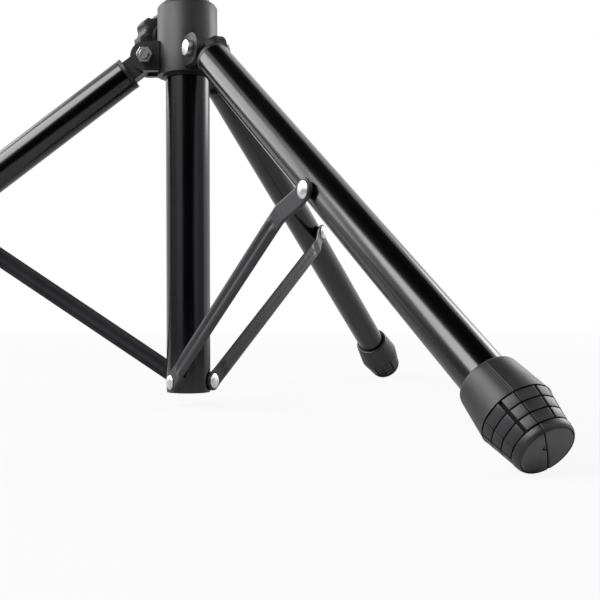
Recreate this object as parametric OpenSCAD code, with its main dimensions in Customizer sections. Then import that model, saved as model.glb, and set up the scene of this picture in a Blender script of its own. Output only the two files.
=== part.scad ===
// Keyboard stand on a folding tripod: a round column, three tube legs on a
// sliding collar, one pressed steel brace to each leg, and a telescoping mast
// that carries a tilting crossbar with two support arms.
// Millimetres, Z up. The origin is on the floor, on the axis of the column.
// The first leg points along -Y, towards the player.

/* [Column] */
// Outer diameter of the column tube
col_d = 30; // [27:0.5:34]
// Wall of the column tube
col_wall = 1.5; // [1.2:0.1:1.8]
// Height of the lower rim of the column above the floor
col_low = 9.5; // [5:0.5:11]
// Length of the column tube
col_len = 551; // [520:1:640]

/* [Legs] */
// Outer diameter of a leg tube
leg_d = 22.6; // [20:0.2:24]
// Wall of a leg tube
leg_wall = 1.4; // [1:0.1:1.8]
// Slope of a spread leg below the horizontal
leg_slope = 36.8; // [34:0.2:40]
// Length from the leg hinge to the end face of the foot
leg_reach = 381; // [360:1:400]
// Length of the rubber foot
foot_len = 45; // [40:1:50]
// Largest radius of the rubber foot
foot_r = 16.9; // [16:0.1:17.3]
// Blocks around the foot
foot_blocks = 12; // [10:2:16]
// Depth of the grooves between the blocks
foot_groove = 1; // [0.4:0.1:1.2]

/* [Braces] */
// Length from the leg hinge to the brace rivet on the leg
brace_at = 181.5; // [170:0.5:186]
// Height of the brace rivet on the column above the floor
brace_low = 17.1; // [16.3:0.1:20]
// Distance of that rivet from the column's middle plane
brace_off = 6.5; // [5.5:0.1:7]
// Width of a brace
brace_w = 12.4; // [11:0.1:13]
// Sheet thickness of a brace
brace_t = 1.5; // [1.2:0.1:2]
// Radius of the ribs pressed into a brace
rib_r = 2.9; // [2.6:0.1:3]
// How far the brace stands off further out at its upper bend
brace_lean = 2.6; // [1.5:0.1:3.5]
// Radius of a rivet head
rivet_r = 5; // [4.6:0.1:5.3]
// Height of a rivet head
rivet_h = 2.4; // [1.8:0.1:2.8]
// Radius of a rivet shank
shank_r = 2.5; // [2:0.1:2.8]
// Thickness of the spacer between brace and leg
spacer_t = 1.4; // [1.1:0.1:1.8]

/* [Collar] */
// Distance of the leg hinges from the column axis
hinge_r = 28; // [28:0.2:29]
// Wall of the collar casting
collar_wall = 3.5; // [3:0.1:4]
// Height of the collar casting
collar_h = 48; // [44:1:56]
// Thickness of the hinge tongue on a leg
tongue_t = 12; // [10:0.5:13]
// Thickness of one hinge ear
ear_t = 5; // [4:0.5:6]
// Radius of a hinge bolt
bolt_r = 3; // [2.5:0.1:3.2]

/* [Mast] */
// Length of the mast tube
mast_len = 500; // [470:1:520]
// Length of mast inside the column at the lowest setting
mast_in = 300; // [292:1:310]
// Wall of the mast tube
mast_wall = 1.5; // [1.2:0.1:2]

/* [Head] */
// Side of the square crossbar
bar_s = 30; // [27:0.5:32]
// Length of the crossbar
bar_len = 500; // [470:1:560]
// Wall of the crossbar
bar_wall = 2; // [1.5:0.1:2.5]
// Distance of a support arm from the middle
arm_x = 185; // [170:1:190]
// Length of a support arm
arm_len = 330; // [300:1:380]
// Side of the square arm tube
arm_s = 25; // [22:0.5:28]
// Wall of the arm tube
arm_wall = 1.5; // [1.2:0.1:2]
// Length of a rubber pad on an arm
pad_len = 85; // [60:1:95]
// Thickness of a rubber pad
pad_h = 4; // [3:0.5:6]
// Height of a stop post above its arm
post_h = 42; // [34:1:56]
// Radius of a clamp screw
screw_r = 4; // [3.5:0.1:4.2]
// Radius of a star grip
grip_r = 18; // [16:0.5:19]

/* [View] */
// Piece to draw

/* [Hidden] */

powder = [0.05, 0.05, 0.055];
pressed = [0.16, 0.16, 0.17];
rubber = [0.11, 0.11, 0.115];
plastic = [0.07, 0.07, 0.075];
zinc = [0.80, 0.80, 0.82];

fit = 0.02;          // two pieces of one body
run = 0.05;          // a shaft that turns or slides
tip = 0.35;          // a screw's tip, or a spacer, before what it bears on
eps = 1;             // how far a cutter stands out of what it cuts
col_r = col_d / 2;
col_in = col_r - col_wall;
col_top = col_low + col_len;
leg_r = leg_d / 2;
foot_top = leg_reach - foot_len;
rim = 4;             // rounding of the foot's end
rim_r = 0.81 * foot_r;
block_from = 0.52;   // where the blocks start and end, along the foot
block_to = 0.88;
hinge_z = (leg_reach - rim) * sin(leg_slope) + (rim_r - rim) * cos(leg_slope) + rim;
top_n = hinge_r + brace_at * cos(leg_slope);
top_z = hinge_z - brace_at * sin(leg_slope);
brace_len = sqrt(pow(top_n - brace_off, 2) + pow(top_z - brace_low, 2));
brace_slope = atan2(top_z - brace_low, top_n - brace_off);
eye_r = brace_w / 2 + 0.3;
low_t = col_r + 0.3;           // inner face of the brace at the column
high_t = leg_r + tip + spacer_t + fit;  // and at the leg
bend_x = brace_len - 20.5;      // where the brace bends back to the leg
bend_t = low_t + brace_lean;
flat_x = brace_len - 6;        // where it is flat again
collar_in = col_r + 2;
collar_r = collar_in + collar_wall;
collar_low = 12;               // how far the collar reaches below its hinges
tongue_r = hinge_r - collar_r - 0.35;
ear_r = 10;
ear_gap = tongue_t / 2 + run;
seat = 15;                     // start of the tube, measured from the hinge
mast_d = 2 * col_in - 2;
mast_r = mast_d / 2;
mast_low = col_top - mast_in;
mast_top = mast_low + mast_len;
clamp_h = 40;
clamp_r = col_r + 5;
bush_h = clamp_h + 15;         // sleeve between column and mast
tilt_z = mast_top + 28;
bar_z = tilt_z + 24 + bar_s / 2;
sleeve_t = 4;
sleeve_w = 36;
arm_low = bar_z + bar_s / 2 + run + sleeve_t;
arm_z = arm_low + arm_s / 2;
arm_front = -0.58 * arm_len;
post_r = 5;
cheek_x = 16;
saddle = cheek_x + 4;          // half length of the saddle under the crossbar

// the plane of one leg: +X points outwards, the brace lies on the -Y side
module leg_plane(i) {
    rotate([0, 0, 120 * i - 90]) children();
}

// along one leg: +Z runs from the hinge to the foot
module along_leg(i) {
    leg_plane(i) translate([hinge_r, 0, hinge_z]) rotate([0, 90 + leg_slope, 0]) children();
}

// along one brace: +X runs from the rivet on the column to the rivet on the leg
module along_brace(i) {
    leg_plane(i) translate([brace_off, 0, brace_low]) rotate([0, -brace_slope, 0]) children();
}

// a round bar standing towards the brace side, from depth a to depth b
module outward(a, b, r) {
    translate([0, -a, 0]) rotate([90, 0, 0]) cylinder(h = b - a, r = r, $fn = 64);
}

// low head with a rounded edge that stands at depth a
module dome(a, r, h) {
    edge = 0.22 * r;
    translate([0, -a, 0]) rotate([90, 0, 0]) rotate_extrude($fn = 64)
        polygon(concat([[0, 0], [r, 0]],
            [for (k = [0:3]) [r - edge + edge * cos(25 * k), h * (0.3 + 0.48 * sin(25 * k))]],
            [[0.55 * r, 0.93 * h], [0, h]]));
}

// star grip, its screw along +Z, its seat at z = 0
module star(bore) {
    difference() {
        union() {
            cylinder(h = 6, r = 0.55 * grip_r, $fn = 64);
            translate([0, 0, 5]) cylinder(h = 3, r1 = 0.75 * grip_r, r2 = grip_r, $fn = 64);
            translate([0, 0, 8]) cylinder(h = 11, r = grip_r, $fn = 64);
            translate([0, 0, 19]) cylinder(h = 2, r1 = grip_r, r2 = grip_r - 2, $fn = 64);
        }
        for (k = [0:6])
            rotate([0, 0, k * 360 / 7]) translate([grip_r * 1.13, 0, 4])
                cylinder(h = 18, r = grip_r * 0.30, $fn = 32);
        translate([0, 0, -eps]) cylinder(h = 16 + eps, r = bore, $fn = 48);
        translate([0, 0, 20]) cylinder(h = 2, r = grip_r * 0.45, $fn = 48);
    }
}

module column_tube() {
    color(powder) difference() {
        translate([0, 0, col_low]) cylinder(h = col_len, r = col_r, $fn = 96);
        translate([0, 0, col_low - eps]) cylinder(h = col_len + 2 * eps, r = col_in, $fn = 96);
        for (i = [0:2])
            leg_plane(i) translate([brace_off, 0, brace_low])
                outward(0.3 * col_r, col_r + eps, shank_r + fit);
        translate([0, 0, col_top - 18]) rotate([0, 90, 150])
            cylinder(h = col_r + eps, r = screw_r + 0.3, $fn = 48);
    }
}

// plug that closes the lower end; the rivets end in it
module column_plug() {
    color(plastic) difference() {
        translate([0, 0, col_low]) cylinder(h = 19, r = col_in - fit, $fn = 96);
        translate([0, 0, col_low - eps]) cylinder(h = 2 + eps, r = 3.5, $fn = 48);
        translate([0, 0, col_low + 17]) cylinder(h = 2 + eps, r = 3, $fn = 48);
        for (i = [0:2])
            leg_plane(i) translate([brace_off, 0, brace_low])
                outward(col_in - 5.5, col_in + eps, shank_r + fit);
    }
}

// flat seats for the braces on the round column
module column_saddles() {
    color(plastic) for (i = [0:2]) difference() {
        leg_plane(i) translate([brace_off, 0, brace_low]) difference() {
            outward(0.6 * col_r, low_t - run, eye_r - 0.2);
            outward(0.6 * col_r - eps, low_t + eps, shank_r + fit);
        }
        cylinder(h = brace_low + col_d, r = col_r + fit, $fn = 96);
    }
}

module column_rivets() {
    color(zinc) for (i = [0:2])
        leg_plane(i) translate([brace_off, 0, brace_low]) {
            outward(col_in - 5, low_t + brace_t + run, shank_r);
            dome(low_t + brace_t + run, rivet_r, rivet_h);
        }
}

module height_clamp() {
    z0 = col_top - clamp_h + 8;
    color(plastic) difference() {
        union() {
            translate([0, 0, z0]) cylinder(h = clamp_h - 2, r = clamp_r, $fn = 96);
            translate([0, 0, z0 + clamp_h - 2]) cylinder(h = 2, r1 = clamp_r, r2 = clamp_r - 2, $fn = 96);
            translate([0, 0, z0 - 3]) cylinder(h = 3, r1 = clamp_r - 2, r2 = clamp_r, $fn = 96);
            translate([0, 0, col_top - 18]) rotate([0, 90, 150]) translate([0, 0, col_r + 2])
                cylinder(h = 15, r = 9, $fn = 64);
        }
        translate([0, 0, z0 - 3 - eps]) cylinder(h = clamp_h - 2, r = col_r + fit, $fn = 96);
        translate([0, 0, z0]) cylinder(h = clamp_h - 5, r = col_r + fit, $fn = 96);
        translate([0, 0, z0 + clamp_h - 6]) cylinder(h = 8, r = mast_r + 0.5, $fn = 96);
        translate([0, 0, col_top - 18]) rotate([0, 90, 150])
            cylinder(h = col_r + 30, r = screw_r + run, $fn = 48);
    }
}

// plastic sleeve between column and mast
module height_bush() {
    color(plastic) difference() {
        union() {
            translate([0, 0, col_top - bush_h]) cylinder(h = bush_h + fit, r = col_in - fit, $fn = 96);
            translate([0, 0, col_top + fit]) cylinder(h = 2.5, r = col_r - 0.5, $fn = 96);
        }
        translate([0, 0, col_top - bush_h - eps]) cylinder(h = bush_h + 5, r = mast_r + run, $fn = 96);
        translate([0, 0, col_top - 18]) rotate([0, 90, 150])
            cylinder(h = col_r + eps, r = screw_r + 0.3, $fn = 48);
    }
}

module height_place() {
    translate([0, 0, col_top - 18]) rotate([0, 90, 150]) children();
}

module height_screw() {
    color(zinc) height_place() translate([0, 0, mast_r + tip])
        cylinder(h = col_r + 32 - mast_r - tip, r = screw_r, $fn = 48);
}

module height_grip() {
    color(plastic) height_place() translate([0, 0, col_r + 17.3]) star(screw_r + fit);
}

module collar_knob_place() {
    translate([0, 0, hinge_z + 24]) rotate([0, 90, 90]) children();
}

module collar_body() {
    z0 = hinge_z - collar_low;
    color(plastic) difference() {
        union() {
            translate([0, 0, z0]) cylinder(h = collar_h - 2, r = collar_r, $fn = 96);
            translate([0, 0, z0 + collar_h - 2]) cylinder(h = 2, r1 = collar_r, r2 = collar_r - 1.5, $fn = 96);
            for (i = [0:2], s = [-1, 1]) leg_plane(i)
                translate([0, s * (ear_gap + ear_t / 2), hinge_z]) {
                    translate([col_r + 3, -ear_t / 2, -ear_r]) cube([hinge_r - col_r - 3, ear_t, 2 * ear_r]);
                    translate([hinge_r, ear_t / 2, 0]) rotate([90, 0, 0])
                        cylinder(h = ear_t, r = ear_r, $fn = 64);
                }
            collar_knob_place() translate([0, 0, collar_in]) cylinder(h = 16, r = 8.5, $fn = 64);
        }
        translate([0, 0, z0 - eps]) cylinder(h = collar_h + 2 * eps, r = collar_in, $fn = 96);
        for (i = [0:2]) leg_plane(i) translate([hinge_r, ear_gap + ear_t + eps, hinge_z])
            rotate([90, 0, 0]) cylinder(h = 2 * (ear_gap + ear_t + eps), r = bolt_r + fit, $fn = 48);
        collar_knob_place() cylinder(h = 60, r = screw_r + run, $fn = 48);
    }
}

module collar_bush() {
    z0 = hinge_z - collar_low;
    color(plastic) difference() {
        translate([0, 0, z0 - 1.5]) cylinder(h = collar_h + 3, r = collar_in - fit, $fn = 96);
        translate([0, 0, z0 - 1.5 - eps]) cylinder(h = collar_h + 5, r = col_r + run, $fn = 96);
        collar_knob_place() cylinder(h = 60, r = screw_r + 0.3, $fn = 48);
    }
}

module collar_bolts() {
    a = ear_gap + ear_t;
    color(zinc) for (i = [0:2]) leg_plane(i) translate([hinge_r, 0, hinge_z]) {
        outward(-a - 6.5, a + 0.2, bolt_r);
        outward(a + fit, a + 4, 5.2);
    }
}

module collar_nuts() {
    a = ear_gap + ear_t;
    color(zinc) for (i = [0:2]) leg_plane(i) translate([hinge_r, 0, hinge_z]) difference() {
        translate([0, a + fit, 0]) rotate([-90, 0, 0]) cylinder(h = 5, r = 5.6, $fn = 6);
        outward(-a - 8, -a + eps, bolt_r + fit);
    }
}

module collar_screw() {
    color(zinc) collar_knob_place() translate([0, 0, col_r + tip])
        cylinder(h = 33 - tip, r = screw_r, $fn = 48);
}

module collar_grip() {
    color(plastic) collar_knob_place() translate([0, 0, collar_in + 16.3]) star(screw_r + fit);
}

module leg_tube(i) {
    color(powder) along_leg(i) difference() {
        translate([0, 0, seat + 3 + fit]) cylinder(h = leg_reach - seat - 7 - 2 * fit, r = leg_r, $fn = 96);
        translate([0, 0, seat]) cylinder(h = leg_reach, r = leg_r - leg_wall, $fn = 96);
    }
}

// hinge piece pushed into the upper end of the tube
module leg_hinge(i) {
    in = leg_r - leg_wall - 2 * fit;
    color(plastic) along_leg(i) difference() {
        union() {
            translate([0, tongue_t / 2, 0]) rotate([90, 0, 0]) cylinder(h = tongue_t, r = tongue_r, $fn = 64);
            translate([-tongue_r, -tongue_t / 2, 0]) cube([2 * tongue_r, tongue_t, seat + 1]);
            translate([0, 0, seat]) cylinder(h = 3, r = leg_r, $fn = 96);
            translate([0, 0, seat + 2]) cylinder(h = 26, r = in, $fn = 96);
        }
        translate([0, tongue_t, 0]) rotate([90, 0, 0])
            cylinder(h = 2 * tongue_t, r = bolt_r + run, $fn = 48);
        translate([0, 0, seat + 8]) cylinder(h = 30, r = in - 2.5, $fn = 64);
    }
}

// radius of the foot's side at a fraction of its length
function foot_at(u) = foot_r * (u < block_from
    ? 0.827 + 0.173 * u / block_from
    : 1 - 0.48 * (u - block_from));

module leg_foot(i) {
    rows = 3;
    row = (block_to - block_from) / rows;
    dip = 0.009;                 // half width of a ring groove
    lip = 1.4;                   // rounded edge around the tube
    seam = -147;                 // where the mould parts
    cut = foot_groove - 0.15;    // depth of the lengthwise grooves
    side = concat(
        [[0, foot_top], [0.74 * foot_r, foot_top], [0.781 * foot_r, foot_top + 0.15],
         [0.817 * foot_r, foot_top + 0.65], [foot_at(lip / foot_len), foot_top + lip],
         [foot_at(block_from - dip), foot_top + foot_len * (block_from - dip)]],
        [for (j = [0:rows - 1]) each let (u = block_from + j * row)
            [[foot_at(u) - foot_groove, foot_top + foot_len * u],
             [foot_at(u + dip), foot_top + foot_len * (u + dip)],
             [foot_at(u + row - dip), foot_top + foot_len * (u + row - dip)]]],
        [[foot_at(block_to) - foot_groove, foot_top + foot_len * block_to],
         [foot_at(block_to + dip), foot_top + foot_len * (block_to + dip)]],
        [for (k = [0:5]) [rim_r - rim + rim * cos(18 * k), leg_reach - rim + rim * sin(18 * k)]],
        [[rim_r * 0.5, leg_reach + 0.3], [0, leg_reach + 0.4]]);
    taper = atan2(foot_at(block_from) - foot_at(block_to), foot_len * (block_to - block_from));
    color(rubber) along_leg(i) difference() {
        rotate_extrude($fn = 96) polygon(side);
        translate([0, 0, foot_top - eps]) cylinder(h = foot_len - 4 + eps, r = leg_r + fit, $fn = 96);
        for (k = [0:foot_blocks - 1]) {
            wide = k % 2 == 0 ? 0.5 : 1.1;
            rotate([0, 0, seam + k * 360 / foot_blocks])
                translate([foot_at(block_from) - cut, -wide / 2, foot_top + foot_len * block_from])
                    rotate([0, -taper, 0]) cube([3, wide, foot_len * (block_to - block_from)]);
        }
        rotate([0, 0, seam]) translate([-rim_r, -0.25, leg_reach - 0.3]) cube([2 * rim_r, 0.5, 3]);
        translate([0, 0, leg_reach]) cylinder(h = 2, r = 1.3, $fn = 32);
    }
}

module brace_bar(i) {
    flat0 = eye_r + 0.6;         // end of the flat part at the column
    lean = atan2(brace_lean, bend_x - flat0);
    path = [[0, low_t], [flat0, low_t], [bend_x, bend_t], [flat_x, high_t], [brace_len, high_t]];
    rib_in = 1.75;               // how deep the middle of a rib lies under the sheet's face
    rib_len = bend_x - flat0 - 6.5;
    ramp = 6;                    // sloping end of a rib
    color(pressed) along_brace(i) difference() {
        union() {
            outward(low_t, low_t + brace_t, eye_r);
            translate([0, 0, -brace_w / 2]) linear_extrude(brace_w) polygon(concat(
                [for (q = path) [q[0], -q[1]]],
                [for (k = [4:-1:0]) [path[k][0], -path[k][1] - brace_t]]));
            translate([brace_len, 0, 0]) outward(high_t, high_t + brace_t, eye_r);
            for (s = [-1, 1]) translate([flat0, -low_t, 0]) rotate([0, 0, -lean]) intersection() {
                translate([0, rib_in - brace_t, s * 0.265 * brace_w]) rotate([0, 90, 0])
                    cylinder(h = bend_x, r = rib_r, $fn = 64);
                translate([4, 0, -brace_w / 2]) linear_extrude(brace_w)
                    polygon([[0, -brace_t / 2], [rib_len, -brace_t / 2],
                             [rib_len - ramp, -brace_t - 2], [ramp, -brace_t - 2]]);
            }
        }
        outward(low_t - eps, low_t + brace_t + 3, shank_r + run);
        translate([brace_len, 0, 0]) outward(high_t - eps, high_t + brace_t + eps, shank_r + fit);
    }
}

module brace_spacer(i) {
    color(plastic) along_brace(i) translate([brace_len, 0, 0]) difference() {
        outward(leg_r + tip, leg_r + tip + spacer_t, 5.4);
        outward(leg_r, leg_r + spacer_t + 2, shank_r + fit);
    }
}

module brace_rivet(i) {
    color(zinc) along_brace(i) translate([brace_len, 0, 0]) {
        outward(leg_r + tip, high_t + brace_t + fit, shank_r);
        dome(high_t + brace_t + fit, rivet_r, rivet_h);
    }
}

module mast_tube() {
    color(powder) difference() {
        translate([0, 0, mast_low]) cylinder(h = mast_len, r = mast_r, $fn = 96);
        translate([0, 0, mast_low - eps]) cylinder(h = mast_len + 2 * eps, r = mast_r - mast_wall, $fn = 96);
    }
}

// guide on the lower end of the mast, inside the column
module mast_guide() {
    color(plastic) difference() {
        union() {
            translate([0, 0, mast_low - 10]) cylinder(h = 10 - fit, r = col_in - 2 * run, $fn = 96);
            translate([0, 0, mast_low - 1]) cylinder(h = 20, r = mast_r - mast_wall - fit, $fn = 96);
        }
        translate([0, 0, mast_low - 11]) cylinder(h = 40, r = mast_r - mast_wall - 2, $fn = 64);
    }
}

// forked bracket on top of the mast
module mast_fork() {
    color(powder) difference() {
        union() {
            translate([0, 0, mast_top - 16]) cylinder(h = 16 + fit, r = mast_r + 3, $fn = 96);
            translate([-cheek_x - 4, -13, mast_top + fit]) cube([2 * cheek_x + 8, 26, 4]);
            for (s = [-1, 1]) translate([s * (cheek_x + 2) - 2, 0, 0]) {
                translate([0, -13, mast_top + 2]) cube([4, 26, tilt_z - mast_top - 2]);
                translate([0, 0, tilt_z]) rotate([0, 90, 0]) cylinder(h = 4, r = 13, $fn = 64);
            }
        }
        translate([0, 0, mast_top - 17]) cylinder(h = 17, r = mast_r + fit, $fn = 96);
        translate([-cheek_x - 10, 0, tilt_z]) rotate([0, 90, 0])
            cylinder(h = 2 * cheek_x + 20, r = screw_r + fit, $fn = 48);
    }
}

module tilt_bolt() {
    color(zinc) translate([0, 0, tilt_z]) rotate([0, 90, 0]) {
        translate([0, 0, -cheek_x - 4.5]) cylinder(h = 2 * cheek_x + 8 + 14, r = screw_r, $fn = 48);
        translate([0, 0, -cheek_x - 9.5]) cylinder(h = 5.5 - fit, r = 7.2, $fn = 6);
    }
}

module tilt_grip() {
    color(plastic) translate([cheek_x + 4.3, 0, tilt_z]) rotate([0, 90, 0]) star(screw_r + run);
}

module head_block() {
    w = 2 * (cheek_x - run);
    color(powder) difference() {
        union() {
            translate([-w / 2, 0, tilt_z]) rotate([0, 90, 0]) cylinder(h = w, r = 11.5, $fn = 64);
            translate([-w / 2, -9, tilt_z]) cube([w, 18, bar_z - bar_s / 2 - tilt_z - 3]);
            translate([-saddle, -bar_s / 2 - 4, bar_z - bar_s / 2 - 4 - fit]) cube([2 * saddle, bar_s + 8, 4]);
            for (s = [-1, 1]) translate([-saddle, s * (bar_s / 2 + fit + 2) - 2, bar_z - bar_s / 2 - 4 - fit])
                cube([2 * saddle, 4 - fit, bar_s / 2]);
        }
        translate([-w, 0, tilt_z]) rotate([0, 90, 0]) cylinder(h = 2 * w, r = screw_r + run, $fn = 48);
    }
}

module crossbar() {
    color(powder) difference() {
        translate([-bar_len / 2, -bar_s / 2, bar_z - bar_s / 2]) cube([bar_len, bar_s, bar_s]);
        translate([-bar_len / 2 - eps, -bar_s / 2 + bar_wall, bar_z - bar_s / 2 + bar_wall])
            cube([bar_len + 2 * eps, bar_s - 2 * bar_wall, bar_s - 2 * bar_wall]);
    }
}

module crossbar_caps() {
    in = bar_s - 2 * bar_wall - 2 * fit;
    color(plastic) for (s = [-1, 1]) translate([s * bar_len / 2, 0, bar_z]) {
        translate([s > 0 ? fit : -3 - fit, -bar_s / 2, -bar_s / 2]) cube([3, bar_s, bar_s]);
        translate([s > 0 ? -14 : -fit - 1, -in / 2, -in / 2]) cube([15 + fit, in, in]);
    }
}

module sleeve(x) {
    in = bar_s / 2 + run;
    out = in + sleeve_t;
    color(powder) translate([x, 0, bar_z]) difference() {
        union() {
            translate([-sleeve_w / 2, -out, -out]) cube([sleeve_w, 2 * out, 2 * out]);
            translate([0, 0, -out - 10]) cylinder(h = 11, r = 8.5, $fn = 64);
        }
        translate([-sleeve_w, -in, -in]) cube([2 * sleeve_w, 2 * in, 2 * in]);
        translate([0, 0, -out - 11]) cylinder(h = 20, r = screw_r + run, $fn = 48);
    }
}

module arm_tube(x) {
    in = arm_s / 2 - arm_wall;
    color(powder) difference() {
        translate([x - arm_s / 2, arm_front, arm_low + fit]) cube([arm_s, arm_len, arm_s]);
        translate([x - in, arm_front - eps, arm_low + fit + arm_wall]) cube([2 * in, arm_len + 2 * eps, 2 * in]);
        translate([x, arm_front + 14, arm_low + 3]) cylinder(h = arm_s + 10, r = post_r + fit, $fn = 48);
    }
}

module arm_caps(x) {
    in = arm_s / 2 - arm_wall - fit;
    color(plastic) for (s = [-1, 1]) translate([x, s > 0 ? arm_front + arm_len : arm_front, arm_z + fit]) {
        translate([-arm_s / 2, s > 0 ? fit : -3 - fit, -arm_s / 2]) cube([arm_s, 3, arm_s]);
        translate([-in, s > 0 ? -7 : -fit - 1, -in]) cube([2 * in, 8 + fit, 2 * in]);
    }
}

// two rubber pads that the instrument lies on, with sloping ends
module arm_pads(x) {
    wide = arm_s - 3;
    color(rubber) for (y = [arm_front + 0.09 * arm_len, arm_front + 0.97 * arm_len - pad_len])
        translate([x - wide / 2, y, arm_low + arm_s + 2 * fit]) rotate([90, 0, 90]) linear_extrude(wide)
            polygon([[0, 0], [pad_len, 0], [pad_len, 1.5], [pad_len - 2.5, pad_h], [2.5, pad_h], [0, 1.5]]);
}

// upright post that keeps the instrument from sliding off
module arm_post(x) {
    color(powder) translate([x, arm_front + 14, arm_low + fit + arm_wall + fit])
        cylinder(h = arm_s - arm_wall + post_h, r = post_r, $fn = 48);
}

module post_cover(x) {
    z = arm_low + arm_s + 2 * fit;
    h = post_h + 2;
    color(rubber) translate([x, arm_front + 14, z]) difference() {
        union() {
            cylinder(h = h - 2, r = post_r + 2.5, $fn = 64);
            translate([0, 0, h - 2]) cylinder(h = 2, r1 = post_r + 2.5, r2 = post_r + 0.5, $fn = 64);
        }
        translate([0, 0, -eps]) cylinder(h = h - 1.9 + eps, r = post_r + fit, $fn = 48);
    }
}

module arm_screw(x) {
    low = run + sleeve_t + 10.3 + 14.6;
    color(zinc) translate([x, 0, bar_z - bar_s / 2 - low])
        cylinder(h = low - tip, r = screw_r, $fn = 48);
}

module arm_grip(x) {
    color(plastic) translate([x, 0, bar_z - bar_s / 2 - run - sleeve_t - 10.3]) rotate([180, 0, 0])
        star(screw_r + fit);
}

column_tube();
column_plug();
column_saddles();
column_rivets();
height_clamp();
height_bush();
height_screw();
height_grip();
collar_body();
collar_bush();
collar_bolts();
collar_nuts();
collar_screw();
collar_grip();
leg_tube(0);  // leg_front_tube
leg_hinge(0);  // leg_front_hinge
leg_foot(0);  // leg_front_foot
leg_tube(1);  // leg_right_tube
leg_hinge(1);  // leg_right_hinge
leg_foot(1);  // leg_right_foot
leg_tube(2);  // leg_left_tube
leg_hinge(2);  // leg_left_hinge
leg_foot(2);  // leg_left_foot
brace_bar(0);  // brace_front_bar
brace_spacer(0);  // brace_front_spacer
brace_rivet(0);  // brace_front_rivet
brace_bar(1);  // brace_right_bar
brace_spacer(1);  // brace_right_spacer
brace_rivet(1);  // brace_right_rivet
brace_bar(2);  // brace_left_bar
brace_spacer(2);  // brace_left_spacer
brace_rivet(2);  // brace_left_rivet
mast_tube();
mast_guide();
mast_fork();
tilt_bolt();
head_block();
crossbar();
crossbar_caps();
tilt_grip();
sleeve(arm_x);  // arm_right_sleeve
arm_tube(arm_x);  // arm_right_tube
arm_caps(arm_x);  // arm_right_caps
arm_pads(arm_x);  // arm_right_pads
arm_post(arm_x);  // arm_right_post
post_cover(arm_x);  // arm_right_cover
arm_screw(arm_x);  // arm_right_screw
arm_grip(arm_x);  // arm_right_grip
sleeve(-arm_x);  // arm_left_sleeve
arm_tube(-arm_x);  // arm_left_tube
arm_caps(-arm_x);  // arm_left_caps
arm_pads(-arm_x);  // arm_left_pads
arm_post(-arm_x);  // arm_left_post
post_cover(-arm_x);  // arm_left_cover
arm_screw(-arm_x);  // arm_left_screw
arm_grip(-arm_x);  // arm_left_grip
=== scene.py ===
import math

import bmesh
import bpy
import numpy as np
from mathutils import Matrix, Vector


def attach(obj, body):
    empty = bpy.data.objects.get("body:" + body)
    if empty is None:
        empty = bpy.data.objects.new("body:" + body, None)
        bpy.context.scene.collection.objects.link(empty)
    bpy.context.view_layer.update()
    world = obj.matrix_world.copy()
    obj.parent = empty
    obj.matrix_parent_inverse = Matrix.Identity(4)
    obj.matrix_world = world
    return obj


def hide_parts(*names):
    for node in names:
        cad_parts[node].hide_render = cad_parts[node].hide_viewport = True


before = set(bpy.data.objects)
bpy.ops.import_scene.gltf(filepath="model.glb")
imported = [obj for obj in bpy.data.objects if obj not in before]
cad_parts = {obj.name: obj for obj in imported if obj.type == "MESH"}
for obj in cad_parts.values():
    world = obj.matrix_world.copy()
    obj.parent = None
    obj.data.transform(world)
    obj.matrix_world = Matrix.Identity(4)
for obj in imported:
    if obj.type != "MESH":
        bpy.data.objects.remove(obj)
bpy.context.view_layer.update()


# Column tube.
# A straight round steel tube, 30 mm across, cut square and powder coated glossy black. The braces are
# riveted to its foot, and the leg collar slides on it.

column_radius, column_bore = 15.0, 13.5
column_foot, column_top = 9.5, 560.5


def ring_faces(rows):
    """Faces from each ring of corners to the next, and from the last ring to the first. A corner that
    comes twice in a face is used once."""
    faces = []
    for low, high in zip(rows, rows[1:] + rows[:1]):
        for k in range(len(low)):
            n = (k + 1) % len(low)
            ring = [low[k], low[n], high[n], high[k]]
            face = [c for j, c in enumerate(ring) if c not in ring[:j]]
            if len(face) > 2:
                faces.append(face)
    return faces


def turned(profile, steps=160, place=Matrix.Identity(4)):
    """Corners and faces of a turned piece. The profile is a closed loop of (radius, height) in
    millimetres, and a point on the axis becomes a single corner."""
    corners, rows = [], []
    for radius, height in profile:
        if radius < 1e-6:
            rows.append([len(corners)] * steps)
            corners.append(place @ Vector((0, 0, height)))
        else:
            rows.append(list(range(len(corners), len(corners) + steps)))
            for k in range(steps):
                a = 2 * math.pi * k / steps
                corners.append(place @ Vector((radius * math.cos(a), radius * math.sin(a), height)))
    return corners, ring_faces(rows)


def joined(name, parts):
    """One mesh in metres from several (corners, faces) in millimetres."""
    corners, faces = [], []
    for part_corners, part_faces in parts:
        start = len(corners)
        corners += [Vector(c) * 0.001 for c in part_corners]
        faces += [[start + c for c in f] for f in part_faces]
    mesh = bpy.data.meshes.new(name)
    mesh.from_pydata(corners, [], faces)
    return mesh


def dressed(name, mesh, body, nodes, crease):
    """The object of a finished mesh, which rides on a body and stands for CAD nodes. It is smooth except
    at edges sharper than the crease, in degrees."""
    made = bpy.data.objects.new(name, mesh)
    bpy.context.scene.collection.objects.link(made)
    mesh.shade_smooth()
    mesh.set_sharp_from_angle(angle=math.radians(crease))
    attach(made, body)
    if nodes:
        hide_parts(*nodes)
    return made


def piece(name, parts, finish, body, nodes, crease=35.0):
    """A dressed piece from several (corners, faces) in millimetres, with doubled corners merged."""
    mesh = joined(name, parts)
    shape = bmesh.new()
    shape.from_mesh(mesh)
    bmesh.ops.remove_doubles(shape, verts=shape.verts, dist=1e-7)
    bmesh.ops.recalc_face_normals(shape, faces=shape.faces)
    shape.to_mesh(mesh)
    shape.free()
    mesh.materials.append(finish)
    return dressed(name, mesh, body, nodes, crease)


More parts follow.
